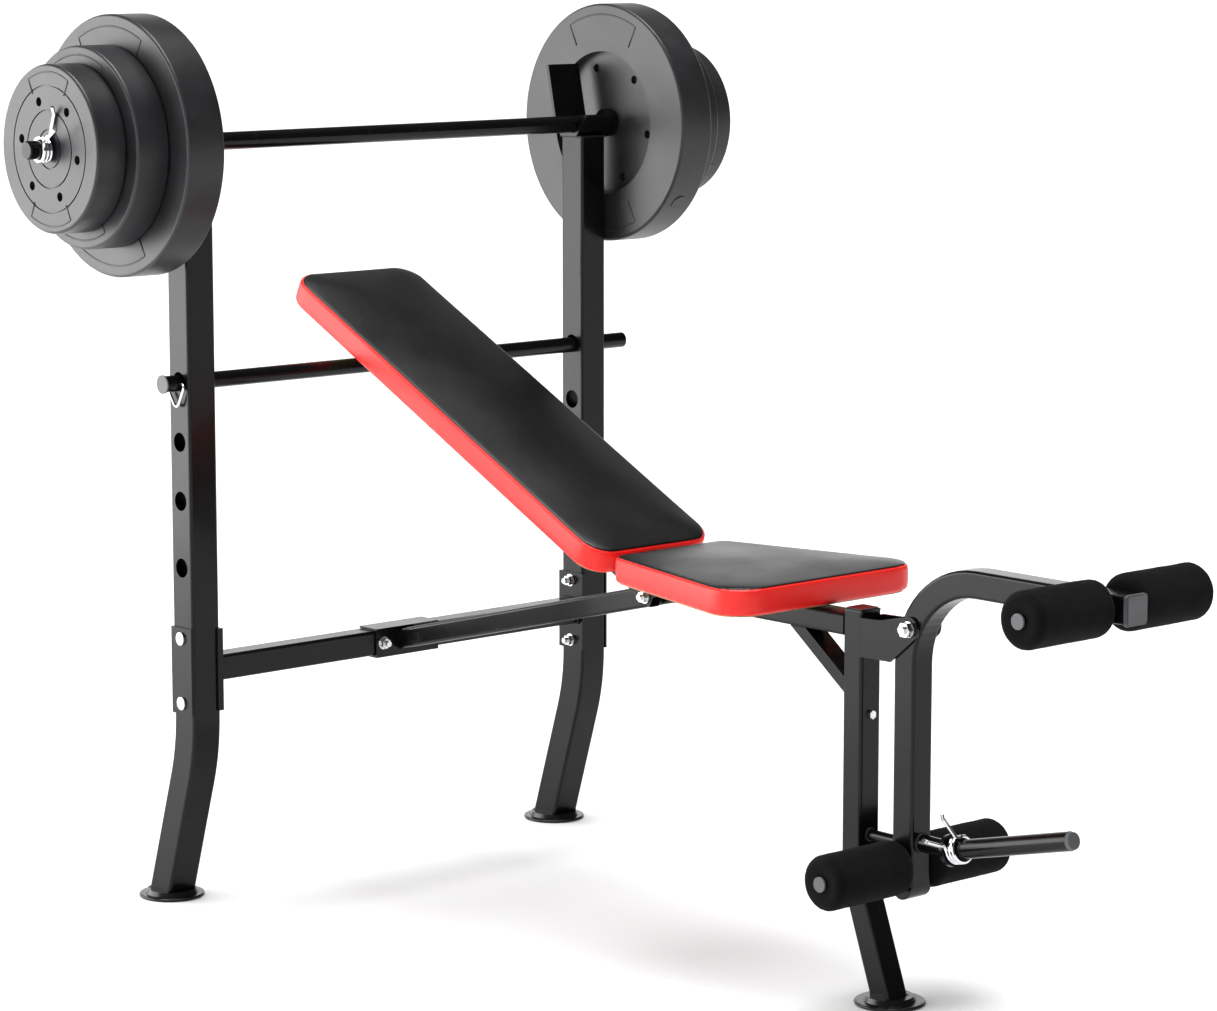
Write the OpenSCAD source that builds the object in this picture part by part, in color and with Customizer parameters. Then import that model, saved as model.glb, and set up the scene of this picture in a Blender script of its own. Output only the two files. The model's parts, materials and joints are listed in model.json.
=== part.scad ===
// Adjustable weight bench with a barbell rack, incline backrest and leg developer.
// +X points from the uprights to the leg developer, +Y is across the bench, +Z is up.
// The origin is on the floor, below the middle of the whole object.

/* [Uprights] */
// Distance between the centrelines of the two uprights
upright_gap = 700; // [580:10:840]
// Outer width of the square upright tube
upright_tube = 45; // [38:1:55]
// Wall thickness of the upright tube
upright_wall = 2; // [1.5:0.25:3]
// Height of the top of the upright tube
upright_top = 1022; // [950:1:1230]
// Height at which the leg starts to bend backwards
leg_bend_z = 264; // [220:1:268]
// Radius of the leg bend
leg_bend_r = 300; // [200:10:340]
// Angle of the lower leg from the vertical
leg_slant = 17.5; // [8:0.5:22]
// Height of the lowest crossbar hole
hole_1_z = 468; // [440:0.5:490]
// Height of the second crossbar hole
hole_2_z = 559; // [540:0.5:580]
// Height of the third crossbar hole
hole_3_z = 639; // [620:0.5:660]
// Height of the top crossbar hole, which holds the crossbar
hole_4_z = 720.7; // [712:0.1:728]
// Diameter of the crossbar holes
hole_d = 26; // [24:0.5:30]

/* [Feet] */
// Diameter of the foot discs
foot_d = 90; // [75:1:110]
// Thickness of the foot discs
foot_t = 4; // [3:0.5:8]
// Height of the foot collar above its disc
foot_collar_h = 6; // [3:0.5:12]

/* [Bar catches] */
// Width of a bar catch
catch_w = 58; // [50:1:70]
// Sheet thickness of a bar catch
catch_t = 5; // [4:0.5:6]
// Height of the back arm above the cradle floor
catch_back_h = 98; // [60:1:120]
// Lean of the back arm from the vertical
catch_lean = 12; // [5:1:20]
// Distance from the upright's centreline to the heel of the back arm
catch_heel_x = 30; // [27:1:36]
// Height of the heel above the cradle floor
catch_heel_z = 25; // [18:1:32]
// Length of the front lip
catch_lip = 35; // [25:1:50]
// Rise angle of the front lip
catch_lip_rise = 51; // [35:1:65]

/* [Crossbar] */
// Diameter of the crossbar
crossbar_d = 22; // [18:0.1:23]
// How far the crossbar stands out past the left upright
crossbar_left = 25; // [22:1:60]
// How far the crossbar stands out past the right upright
crossbar_right = 52; // [20:1:80]
// Wire diameter of the hitch clip
clip_wire = 3.6; // [2.5:0.1:4]

/* [Beams] */
// Width and height of the crossbeam tube
crossbeam_tube = 35; // [30:1:40]
// Height of the crossbeam centreline
crossbeam_z = 327; // [310:1:340]
// Width of the main beam tube
beam_w = 35; // [30:1:40]
// Height of the main beam tube
beam_h = 28; // [25:1:32]
// Wall thickness of the beams and of the post
beam_wall = 2; // [1.5:0.25:3]
// Height of the level stretch of the main beam
beam_z = 471; // [460:1:490]
// Distance from the uprights to the bend in the main beam
beam_bend_x = 590; // [585:1:610]
// Bend radius of the main beam
beam_bend_r = 120; // [80:5:160]

/* [Front post] */
// Distance from the uprights to the centre of the front post
post_x = 916; // [905:1:960]
// Depth of the post tube along the bench
post_d = 32; // [28:1:38]
// Width of the post tube across the bench
post_w = 35; // [30:1:36]
// Height of the post tube
post_top = 489; // [487:1:510]
// Height at which the post starts to bend forwards
post_bend_z = 170; // [140:1:200]
// Radius of the post bend
post_bend_r = 100; // [60:5:150]
// Angle of the lower post from the vertical
post_slant = 20; // [8:0.5:24]
// Height of the bolt through the post
post_bolt_z = 360; // [300:1:400]
// Thickness of the brace under the beam
brace_t = 16; // [12:1:20]
// Angle of the brace from the level
brace_angle = 37; // [30:1:50]
// Height at which the brace meets the post
brace_z = 395; // [385:1:410]

/* [Pads] */
// Half width of the backrest pad
back_half_w = 110; // [95:1:130]
// Length of the backrest pad
back_len = 722; // [640:1:760]
// Thickness of the backrest pad
back_t = 40; // [34:1:44]
// Corner radius of the backrest pad
back_corner_r = 40; // [25:1:60]
// Half width of the seat pad at its back edge
seat_back_half_w = 106; // [90:1:120]
// Half width of the seat pad at its front edge
seat_front_half_w = 166; // [140:1:180]
// Length of the seat pad
seat_len = 308; // [270:1:312]
// Thickness of the seat pad
seat_t = 40; // [34:1:50]
// Thickness of the boards inside the pads
board_t = 10; // [8:1:12]

/* [Backrest frame] */
// Width and depth of a backrest rail
rail_tube = 19; // [16:0.5:22]
// Length of a backrest rail
rail_len = 690; // [660:1:720]
// Distance from the uprights to the backrest hinge
hinge_x = 560; // [550:1:565]
// Gap from the hinge to the low edge of the backrest pad
hinge_to_pad = 40; // [38:1:60]

/* [Leg developer] */
// Depth of the developer tube in its bending plane
dev_tube = 34; // [30:1:38]
// Distance from the uprights to the upright stretch of the developer
dev_x = 1004; // [1000:1:1015]
// Height of the level arm of the developer
dev_arm_z = 548; // [540:1:570]
// Centreline radius of the large developer bend
dev_bend_r = 113; // [100:1:120]
// Distance from the uprights to the end of the developer arm
dev_arm_end = 1352; // [1310:1:1400]
// Height of the low end of the developer tube
dev_low_z = 158; // [150:1:170]
// Distance from the uprights to the pivot bolt
pivot_x = 1015; // [1010:1:1020]
// Height of the pivot bolt
pivot_z = 481; // [475:1:486]
// Distance from the uprights to the upper roller rod
upper_rod_x = 1314; // [1295:1:1334]
// Distance from the uprights to the lower roller rod
lower_rod_x = 1001; // [1001:1:1012]
// Height of the lower roller rod
lower_rod_z = 183; // [178:1:190]
// Diameter of the roller rods
rod_d = 16; // [14:0.1:19.5]
// Diameter of the foam rollers
roller_d = 70; // [60:1:78]
// Length of a foam roller
roller_len = 133; // [110:1:170]
// Diameter of the weight peg
peg_d = 24; // [22:0.5:26]
// Length of the weight peg past its flange
peg_len = 196; // [150:1:220]
// Rise angle of the weight peg
peg_rise = 13.5; // [5:0.5:20]

/* [Barbell] */
// Diameter of the bar
bar_d = 24; // [20:0.5:25.5]
// How far the bar stands out past the small plates
bar_tail = 35.1; // [30:0.1:80]
// Distance from the uprights' centreline to the bar
bar_x = 8; // [5:1:10]
// Diameter of the small weight plate
small_plate_d = 219; // [180:1:240]
// Diameter of the medium weight plate
medium_plate_d = 264; // [240:1:300]
// Diameter of the large weight plate
large_plate_d = 343; // [300:1:380]
// Thickness of the small weight plate
small_plate_t = 46; // [36:1:48]
// Thickness of the medium weight plate
medium_plate_t = 50; // [40:1:54]
// Thickness of the large weight plate
large_plate_t = 58; // [46:1:60]
// Width of the collars that keep the plates off the uprights
bar_collar_w = 11; // [8:1:14]
// Gap from the outer face of an upright to the large plate, with the bar centred
plate_gap = 28; // [28:0.5:60]
// How far the bar lies to the left of the middle
bar_shift = 20.5; // [0:0.5:20.5]
// Depth of the dished inner face of a weight plate
plate_dish = 14; // [12:0.5:18]

/* [Clearances] */
// Gap between curved faces of pieces that only touch
touch_gap = 0.3; // [0.2:0.05:0.5]
// Radial running clearance of pins and shafts
run_gap = 0.06; // [0.02:0.01:0.1]
// Gap between stacked fasteners, so that each stays a separate piece
seat_gap = 0.05; // [0.02:0.01:0.1]

/* [Hidden] */
$fn = 64;

black = [0.08, 0.08, 0.085];
zinc = [0.78, 0.79, 0.8];
chrome = [0.85, 0.86, 0.87];
grey_plastic = [0.4, 0.41, 0.42];
foam_black = [0.05, 0.05, 0.05];
vinyl_red = [0.9, 0.12, 0.1];
plywood = [0.72, 0.58, 0.4];
plate_black = [0.12, 0.12, 0.13];

hole_zs = [hole_1_z, hole_2_z, hole_3_z, hole_4_z];
plate_ds = [small_plate_d, medium_plate_d, large_plate_d];
plate_ts = [small_plate_t, medium_plate_t, large_plate_t];

// Overall length, and the shift that puts the origin below the middle
end_cap_t = 6;
x_low = min(bar_x - large_plate_d / 2, -upright_tube);
x_high = max(upper_rod_x + roller_d / 2, dev_arm_end + end_cap_t);
x_mid = (x_low + x_high) / 2;
y_mid = -bar_shift;

upright_y = upright_gap / 2;
upright_out_y = upright_y + upright_tube / 2;
upright_in_y = upright_y - upright_tube / 2;
plate_t = 3;

// Lower legs: the corner of the bend, then the foot on the floor
leg_corner_z = leg_bend_z - leg_bend_r * tan(leg_slant / 2);
leg_foot_x = -(leg_corner_z - foot_t) * tan(leg_slant);
post_corner_z = post_bend_z - post_bend_r * tan(post_slant / 2);
post_foot_x = post_x + (post_corner_z - foot_t) * tan(post_slant);

// Bolts of the beam brackets
bracket_h = 113;
bracket_z = crossbeam_z;
bolt_d = 8;
bolt_edge = 12;
bolt_zs = [bracket_z - bracket_h / 2 + bolt_edge, bracket_z + bracket_h / 2 - bolt_edge];
bolt_head_d = 18;
bolt_head_t = 5;
washer_d = 18;
washer_t = 1.6;
nut_w = 13;
nut_t = 6.5;
hex_head_t = 5.3;
thread_tail = 6;
small_nut_w = 10;
screw_head_t = 4.4;
bracket_wrap = 6;

// Centre bracket on the crossbeam
centre_w = 112;
centre_bolt_y = centre_w / 2 - bolt_edge;
centre_front_x = crossbeam_tube / 2 + seat_gap + plate_t;

// Main beam: sloped stretch from the centre bracket up to the bend
post_back_x = post_x - post_d / 2;
post_front_x = post_x + post_d / 2;
beam_low_z = crossbeam_z + 2;
beam_slope = atan2(beam_z - beam_low_z, beam_bend_x - centre_front_x);
beam_top_z = beam_z + beam_h / 2;

// Crossbar rests on the floor of its holes
crossbar_z = hole_zs[3] - (hole_d - crossbar_d) / 2 + touch_gap;
crossbar_y0 = -upright_out_y - crossbar_left;
crossbar_len = 2 * upright_out_y + crossbar_left + crossbar_right;
cap_grip = 13;
clip_y = -upright_out_y - 5;

// Backrest hinge sits on the centreline of the sloped main beam
hinge_z = beam_z - (beam_bend_x - hinge_x) * tan(beam_slope);
hinge_run = sqrt(pow(hinge_x, 2) + pow(crossbar_z - hinge_z, 2));
rail_stand = rail_tube / 2 + crossbar_d / 2 + touch_gap;
back_tilt = atan2(crossbar_z - hinge_z, hinge_x) + asin(rail_stand / hinge_run);
rail_y = beam_w / 2 + 2 + rail_tube / 2;
hinge_bolt_d = 8;
pad_low_x = -hinge_to_pad;
pad_high_x = pad_low_x - back_len;
board_inset = 9;

// Seat
seat_z = beam_top_z + plate_t;
seat_back_x = hinge_x - 2;
seat_front_x = seat_back_x + seat_len;
seat_back_r = 24;
seat_front_r = 48;
seat_plate_x = [seat_back_x + 60, seat_front_x - 60];
seat_plate_w = 90;
seat_screw_x = 20;
seat_screw_y = 12;
screw_d = 6;

// Developer
cheek_gap = 0.5;
cheek_in_y = post_w / 2 + cheek_gap;
dev_side = 35;
pivot_bolt_d = 10;
pivot_nut_w = 17;
pivot_nut_t = 8;
pivot_sleeve_d = 16;
roller_y = post_w / 2 + 4;
rod_half = roller_y + roller_len + touch_gap;
strut_d = 22;
strut_z = 213;
flange_x = dev_x + dev_tube / 2 + 51;
flange_d = 40;
peg_shoulder = 24;
stop_d = 14;
stop_z = 208;
bar_z = upright_top + catch_t + bar_d / 2 + touch_gap;
coil_wire = 5;

// Grooves and dimples on the faces of a weight plate
dish_share = 0.6;
dish_hole_share = 0.48;
face_ring_shares = [0.45, 0.74];
face_hole_share = 0.585;
plate_hub_r = 24;
plate_groove = 1.5;

// Distance from the middle of the bar to the inner face of plate number i, large plate first
plate_start = upright_out_y + plate_gap;
function stack_y(i) = plate_start
    + (i > 0 ? large_plate_t + touch_gap : 0)
    + (i > 1 ? medium_plate_t + touch_gap : 0);
stack_end = stack_y(2) + small_plate_t + touch_gap;
bar_len = 2 * (stack_end + bar_tail);

// ---- helpers ----

module place() {
    translate([-x_mid, -y_mid, 0]) children();
}

module rounded_rect(w, h, r) {
    square([w - 2 * r, h], center = true);
    square([w, h - 2 * r], center = true);
    for (x = [-1, 1], y = [-1, 1])
        translate([x * (w / 2 - r), y * (h / 2 - r)]) circle(r);
}

module tube_section(w, h, wall) {
    difference() {
        rounded_rect(w, h, 2 * wall);
        rounded_rect(w - 2 * wall, h - 2 * wall, wall);
    }
}

// Bar of one section along +Z
module tube_up(w, h, wall, length) {
    linear_extrude(length) tube_section(w, h, wall);
}

// Points of a rounded rectangle, w along the first axis and h along the second
function ring(w, h, r, steps = 4) = [
    for (corner = [0 : 3], i = [0 : steps])
        let (a = 90 * (corner + i / steps),
             sx = corner == 0 || corner == 3 ? 1 : -1,
             sy = corner < 2 ? 1 : -1)
        [sx * (w / 2 - r) + r * cos(a), sy * (h / 2 - r) + r * sin(a)]
];

// Points of an arc of radius r that rounds the corner b between a and c
function corner_arc(a, b, c, r, steps) =
    let (u = (a - b) / norm(a - b),
         v = (c - b) / norm(c - b),
         half = acos(u * v) / 2,
         mid = b + (u + v) / norm(u + v) * r / sin(half),
         start = b + u * r / tan(half) - mid,
         turn = sign(u[0] * v[1] - u[1] * v[0]) * (2 * half - 180))
    [for (i = [0 : steps]) let (t = turn * i / steps)
        mid + [start[0] * cos(t) - start[1] * sin(t), start[0] * sin(t) + start[1] * cos(t)]];

// Path through a list of points with every inner corner rounded
function bent(points, r, steps) = [
    points[0],
    for (i = [1 : len(points) - 2]) each corner_arc(points[i - 1], points[i], points[i + 1], r, steps),
    points[len(points) - 1]
];

// Sideways step of a path at point i, stretched so that the two stretches keep one width
function side_step(path, i) =
    let (last = len(path) - 1,
         d0 = path[max(i, 1)] - path[max(i, 1) - 1],
         d1 = path[min(i, last - 1) + 1] - path[min(i, last - 1)],
         t0 = d0 / norm(d0),
         t1 = d1 / norm(d1),
         t = (t0 + t1) / norm(t0 + t1))
    [-t[1], t[0]] / (t * t0);

// Outline of a bent sheet of thickness t along a path
function sheet(path, t) = [
    for (i = [0 : len(path) - 1]) path[i] + side_step(path, i) * t / 2,
    for (i = [len(path) - 1 : -1 : 0]) path[i] - side_step(path, i) * t / 2
];

// Faces that join rings of n points, with flat ends
function skin(rings, n) = [
    [for (j = [n - 1 : -1 : 0]) j],
    for (i = [0 : rings - 2], j = [0 : n - 1])
        [i * n + j, i * n + (j + 1) % n, (i + 1) * n + (j + 1) % n, (i + 1) * n + j],
    [for (j = [0 : n - 1]) (rings - 1) * n + j]
];

// Bar of a rounded section along a path in the XZ plane, w in that plane and h along Y
module bent_bar(path, w, h, r) {
    section = ring(w, h, r);
    polyhedron(
        [for (i = [0 : len(path) - 1]) let (n = side_step(path, i)) for (p = section)
            [path[i][0] + n[0] * p[0], p[1], path[i][1] + n[1] * p[0]]],
        skin(len(path), len(section)), convexity = 4);
}

module bent_tube(path, w, h, wall) {
    last = len(path) - 1;
    e0 = (path[0] - path[1]) / norm(path[0] - path[1]);
    e1 = (path[last] - path[last - 1]) / norm(path[last] - path[last - 1]);
    difference() {
        bent_bar(path, w, h, 2 * wall);
        bent_bar([path[0] + e0, for (i = [1 : last - 1]) path[i], path[last] + e1],
                 w - 2 * wall, h - 2 * wall, wall);
    }
}

module rod_y(d, length, center = true) {
    rotate([-90, 0, 0]) cylinder(d = d, h = length, center = center);
}

module hex_nut(w, t, bore) {
    difference() {
        cylinder(d = w / cos(30), h = t, $fn = 6);
        translate([0, 0, -1]) cylinder(d = bore, h = t + 2);
    }
}

module washer(d, t, bore) {
    difference() {
        cylinder(d = d, h = t);
        translate([0, 0, -1]) cylinder(d = bore, h = t + 2);
    }
}

// Domed carriage bolt from z = 0 (under the head) up to z = length
module dome_bolt(d, length) {
    cylinder(d = d, h = length);
    intersection() {
        translate([0, 0, bolt_head_d - bolt_head_t]) sphere(d = 2 * bolt_head_d);
        translate([0, 0, -bolt_head_t]) cylinder(d = bolt_head_d, h = bolt_head_t);
    }
}

// Hex bolt from z = 0 (under the head) up to z = length
module hex_bolt(d, length) {
    cylinder(d = d, h = length);
    translate([0, 0, -hex_head_t]) cylinder(d = nut_w / cos(30), h = hex_head_t, $fn = 6);
}

// Washer and nut stacked up from z = 0
module washer_and_nut(d) {
    washer(washer_d, washer_t, d + 2 * seat_gap);
    translate([0, 0, washer_t + seat_gap]) hex_nut(nut_w, nut_t, d + 2 * seat_gap);
}

module foot_disc() {
    rotate_extrude() {
        square([foot_d / 2 - foot_t / 2, foot_t]);
        translate([foot_d / 2 - foot_t / 2, foot_t / 2]) circle(foot_t / 2);
    }
}

// ---- uprights ----

module upright_shape() {
    run = upright_tube;
    difference() {
        bent_tube(bent([[0, upright_top], [0, leg_corner_z],
                        [leg_foot_x - run * tan(leg_slant), foot_t - run]], leg_bend_r, 8),
                  upright_tube, upright_tube, upright_wall);
        translate([-500, -500, foot_t - 1000]) cube(1000);
    }
}

module upright(side) {
    color(black) place() translate([0, side * upright_y, 0])
        difference() {
            upright_shape();
            for (z = hole_zs)
                translate([0, 0, z]) rod_y(hole_d, upright_tube + 2);
            for (z = bolt_zs)
                translate([0, 0, z]) rod_y(bolt_d + 1, upright_tube + 2);
        }
}

module left_upright() { upright(-1); }
module right_upright() { upright(1); }

module rear_foot(side) {
    collar_shift = foot_collar_h * tan(leg_slant);
    color(black) place() translate([leg_foot_x, side * upright_y, 0]) {
        foot_disc();
        translate([0, 0, foot_t])
            difference() {
                cylinder(d1 = foot_d - 18, d2 = foot_d - 23, h = foot_collar_h, $fn = 64);
                translate([collar_shift / 2, 0, -1])
                    linear_extrude(foot_collar_h + 2)
                        square([upright_tube / cos(leg_slant) + collar_shift + 2 * touch_gap,
                                upright_tube + 2 * touch_gap], center = true);
            }
    }
}

module left_rear_foot() { rear_foot(-1); }
module right_rear_foot() { rear_foot(1); }

// ---- bar catches: one bent sheet, cut from a side outline ----

function catch_path() =
    let (floor_z = catch_t / 2,
         heel = [-catch_heel_x, floor_z + catch_heel_z],
         top = heel + (catch_back_h - catch_heel_z) * [-tan(catch_lean), 1],
         knee = [bar_x - 24, floor_z],
         toe = [bar_x + 8, floor_z])
    [top, heel, knee, toe, toe + catch_lip * [cos(catch_lip_rise), sin(catch_lip_rise)]];

module bar_catch(side) {
    color(black) place() translate([0, side * upright_y, upright_top])
        rotate([90, 0, 0]) linear_extrude(catch_w, center = true)
            polygon(sheet(bent(catch_path(), catch_t, 3), catch_t));
}

module left_bar_catch() { bar_catch(-1); }
module right_bar_catch() { bar_catch(1); }

// ---- crossbeam and its brackets ----

module crossbeam() {
    length = 2 * (upright_in_y - plate_t - 2 * seat_gap);
    color(black) place() translate([0, 0, crossbeam_z])
        difference() {
            rotate([90, 0, 0]) translate([0, 0, -length / 2])
                tube_up(crossbeam_tube, crossbeam_tube, beam_wall, length);
            for (y = [-1, 1]) translate([0, y * centre_bolt_y, 0])
                rotate([0, 90, 0]) cylinder(d = bolt_d + 1, h = 2 * crossbeam_tube, center = true);
        }
}

module beam_bracket() {
    wrap_x = upright_tube / 2 + seat_gap;
    web_y = upright_in_y - seat_gap;
    color(black) difference() {
        union() {
            translate([-wrap_x - plate_t, web_y - plate_t, bracket_z - bracket_h / 2])
                cube([2 * (wrap_x + plate_t), plate_t, bracket_h]);
            for (x = [-wrap_x - plate_t, wrap_x])
                translate([x, web_y - plate_t, bracket_z - bracket_h / 2])
                    cube([plate_t, plate_t + bracket_wrap, bracket_h]);
        }
        for (z = bolt_zs)
            translate([0, web_y - plate_t / 2, z]) rod_y(bolt_d + 1, plate_t + 2);
    }
}

module left_beam_bracket() { place() mirror([0, 1, 0]) beam_bracket(); }
module right_beam_bracket() { place() beam_bracket(); }

module outer_plate(side) {
    y = side * (upright_out_y + seat_gap + plate_t / 2);
    color(black) place() difference() {
        translate([0, y, bracket_z]) cube([upright_tube, plate_t, bracket_h + 6], center = true);
        for (z = bolt_zs) translate([0, y, z]) rod_y(bolt_d + 1, plate_t + 2);
    }
}

module left_outer_plate() { outer_plate(-1); }
module right_outer_plate() { outer_plate(1); }

module upright_bolts() {
    head_y = upright_out_y + plate_t + 2 * seat_gap;
    length = upright_tube + 2 * plate_t + washer_t + nut_t + thread_tail;
    color(zinc) place() for (side = [-1, 1], z = bolt_zs)
        translate([0, side * head_y, z]) rotate([side * 90, 0, 0]) dome_bolt(bolt_d, length);
}

module upright_nuts() {
    start_y = upright_in_y - plate_t - 2 * seat_gap;
    color(zinc) place() for (side = [-1, 1], z = bolt_zs)
        translate([0, side * start_y, z]) rotate([side * 90, 0, 0]) washer_and_nut(bolt_d);
}

module centre_bracket() {
    inner = crossbeam_tube / 2 + seat_gap;
    color(black) place() translate([0, 0, crossbeam_z]) difference() {
        union() {
            translate([inner, -centre_w / 2, -inner - plate_t])
                cube([plate_t, centre_w, 2 * (inner + plate_t)]);
            for (z = [-inner - plate_t, inner])
                translate([-inner, -centre_w / 2, z]) cube([2 * inner + plate_t, centre_w, plate_t]);
        }
        for (y = [-1, 1]) translate([0, y * centre_bolt_y, 0])
            rotate([0, 90, 0]) cylinder(d = bolt_d + 1, h = 4 * crossbeam_tube, center = true);
    }
}

module centre_bolts() {
    back_x = -crossbeam_tube / 2 - seat_gap;
    length = centre_front_x - back_x + washer_t + nut_t + thread_tail;
    color(zinc) place() for (y = [-1, 1]) translate([0, y * centre_bolt_y, crossbeam_z]) {
        translate([back_x, 0, 0]) rotate([0, 90, 0]) hex_bolt(bolt_d, length);
        translate([centre_front_x + seat_gap, 0, 0]) rotate([0, 90, 0]) washer_and_nut(bolt_d);
    }
}

// ---- main beam, front post, brace ----

module main_beam() {
    start_x = centre_front_x + seat_gap;
    drop = (beam_bend_x - start_x + 40) * tan(beam_slope);
    color(black) place() difference() {
        bent_tube(bent([[post_back_x - seat_gap, beam_z], [beam_bend_x, beam_z],
                        [start_x - 40, beam_z - drop]], beam_bend_r, 6), beam_h, beam_w, beam_wall);
        translate([start_x - 200, -50, 0]) cube([200, 100, beam_z]);
        translate([hinge_x, 0, hinge_z]) rod_y(hinge_bolt_d + 1, beam_w + 2);
    }
}

module front_post() {
    run = post_d;
    color(black) place() difference() {
        bent_tube(bent([[post_x, post_top], [post_x, post_corner_z],
                        [post_foot_x + run * tan(post_slant), foot_t - run]], post_bend_r, 8),
                  post_d, post_w, beam_wall);
        translate([500, -500, foot_t - 1000]) cube(1000);
        translate([post_x, 0, post_bolt_z]) rotate([0, 90, 0])
            cylinder(d = screw_d + 1, h = 2 * post_d, center = true);
    }
}

module post_cap() {
    cap_t = 4;
    color(black) place() translate([post_x, 0, post_top + seat_gap]) {
        linear_extrude(cap_t - 1.5) rounded_rect(post_d, post_w, 3);
        linear_extrude(cap_t) rounded_rect(post_d - 4, post_w - 4, 3);
        translate([0, 0, -12]) linear_extrude(12)
            rounded_rect(post_d - 2 * beam_wall - 0.4, post_w - 2 * beam_wall - 0.4, 2);
    }
}

module front_foot() {
    collar_shift = foot_collar_h * tan(post_slant);
    color(black) place() translate([post_foot_x, 0, 0]) {
        foot_disc();
        translate([0, 0, foot_t]) difference() {
            cylinder(d1 = foot_d - 24, d2 = foot_d - 30, h = foot_collar_h, $fn = 64);
            translate([-collar_shift / 2, 0, -1]) linear_extrude(foot_collar_h + 2)
                square([post_d / cos(post_slant) + collar_shift + 2 * touch_gap,
                        post_w + 2 * touch_gap], center = true);
        }
    }
}

module beam_brace() {
    brace_w = 30;
    reach = 300;
    color(black) place() intersection() {
        translate([post_back_x, 0, brace_z]) rotate([0, brace_angle, 0])
            cube([reach, brace_w, brace_t], center = true);
        translate([post_back_x - reach / 2 - seat_gap, -brace_w, 0])
            cube([reach / 2, 2 * brace_w, beam_z - beam_h / 2 - seat_gap]);
    }
}

module yoke_outline() {
    r = 15;
    low = pivot_z - 46;
    pivot = [pivot_x, pivot_z];
    translate(pivot) circle(r);
    polygon([
        [post_front_x + seat_gap, low], [pivot_x - 31, low + 1],
        pivot + r * [cos(-45), sin(-45)], pivot + r * [cos(98), sin(98)],
        [pivot_x - 50, pivot_z + 4], [post_front_x + seat_gap, pivot_z + 3]
    ]);
}

module pivot_yoke() {
    color(black) place() difference() {
        union() {
            for (side = [-1, 1])
                translate([0, side * (cheek_in_y + plate_t / 2), 0]) rotate([90, 0, 0])
                    linear_extrude(plate_t, center = true) yoke_outline();
            translate([post_front_x + seat_gap, -cheek_in_y - plate_t / 2, pivot_z - 46])
                cube([plate_t, 2 * cheek_in_y + plate_t, 49]);
        }
        translate([pivot_x, 0, pivot_z]) rod_y(pivot_bolt_d + 1, 3 * post_w);
    }
}

module pivot_bolt() {
    out_y = cheek_in_y + plate_t + seat_gap;
    head_t = 6.4;
    color(zinc) place() translate([pivot_x, 0, pivot_z]) {
        translate([0, out_y, 0]) rotate([90, 0, 0]) {
            cylinder(d = pivot_bolt_d, h = 2 * out_y + 14);
            translate([0, 0, -head_t]) cylinder(d = pivot_nut_w / cos(30), h = head_t, $fn = 6);
        }
        translate([0, -out_y, 0]) rotate([90, 0, 0]) {
            washer(20, washer_t, pivot_bolt_d + 2 * seat_gap);
            translate([0, 0, washer_t + seat_gap])
                hex_nut(pivot_nut_w, pivot_nut_t, pivot_bolt_d + 2 * seat_gap);
        }
    }
}

module post_bolt() {
    color(zinc) place() translate([post_front_x + seat_gap, 0, post_bolt_z]) rotate([0, -90, 0]) {
        cylinder(d = screw_d, h = post_d + thread_tail + 2);
        translate([0, 0, -screw_head_t]) cylinder(d = small_nut_w / cos(30), h = screw_head_t, $fn = 6);
        translate([0, 0, post_d + 2 * seat_gap]) hex_nut(small_nut_w, 5, screw_d + 2 * seat_gap);
    }
}

module developer_stop() {
    start_x = post_front_x + seat_gap;
    color(black) place() translate([start_x, 0, stop_z]) rotate([0, 90, 0])
        cylinder(d = stop_d, h = dev_x - dev_tube / 2 - start_x - touch_gap);
}

// ---- seat ----

module seat_outline(inset) {
    hull() {
        for (side = [-1, 1]) {
            translate([seat_back_x + seat_back_r, side * (seat_back_half_w - seat_back_r)])
                circle(seat_back_r - inset, $fn = 32);
            translate([seat_front_x - seat_front_r, side * (seat_front_half_w - seat_front_r)])
                circle(seat_front_r - inset, $fn = 32);
        }
    }
}

module seat_plate() {
    length = seat_plate_x[1] - seat_plate_x[0];
    color(black) place() translate([seat_plate_x[0], -seat_plate_w / 2, beam_top_z + seat_gap]) difference() {
        cube([length, seat_plate_w, plate_t - 2 * seat_gap]);
        for (x = [seat_screw_x, length - seat_screw_x], y = [seat_screw_y, seat_plate_w - seat_screw_y])
            translate([x, y, -1]) cylinder(d = screw_d + 1, h = plate_t + 2);
    }
}

module seat_board() {
    color(plywood) place() translate([0, 0, seat_z])
        linear_extrude(board_t) seat_outline(board_inset);
}

module seat_pad() {
    color(vinyl_red) place() difference() {
        translate([0, 0, seat_z]) linear_extrude(seat_t) seat_outline(0);
        translate([0, 0, seat_z - 1]) linear_extrude(board_t + 1 + seat_gap)
            seat_outline(board_inset - seat_gap);
    }
}

module seat_screws() {
    length = seat_plate_x[1] - seat_plate_x[0];
    color(zinc) place() for (x = [seat_screw_x, length - seat_screw_x], y = [-1, 1])
        translate([seat_plate_x[0] + x, y * (seat_plate_w / 2 - seat_screw_y), beam_top_z]) {
            translate([0, 0, -screw_head_t]) cylinder(d = small_nut_w / cos(30), h = screw_head_t, $fn = 6);
            cylinder(d = screw_d, h = plate_t - seat_gap);
        }
}

// ---- backrest, built along its rails from the hinge ----

module on_backrest() {
    place() translate([hinge_x, 0, hinge_z]) rotate([0, back_tilt, 0]) children();
}

module back_rail(side) {
    color(black) on_backrest() translate([0, side * rail_y, 0]) difference() {
        translate([12, 0, 0]) rotate([0, -90, 0]) tube_up(rail_tube, rail_tube, 1.5, rail_len);
        rod_y(hinge_bolt_d + 2 * run_gap, rail_tube + 2);
    }
}

module left_back_rail() { back_rail(-1); }
module right_back_rail() { back_rail(1); }

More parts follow.
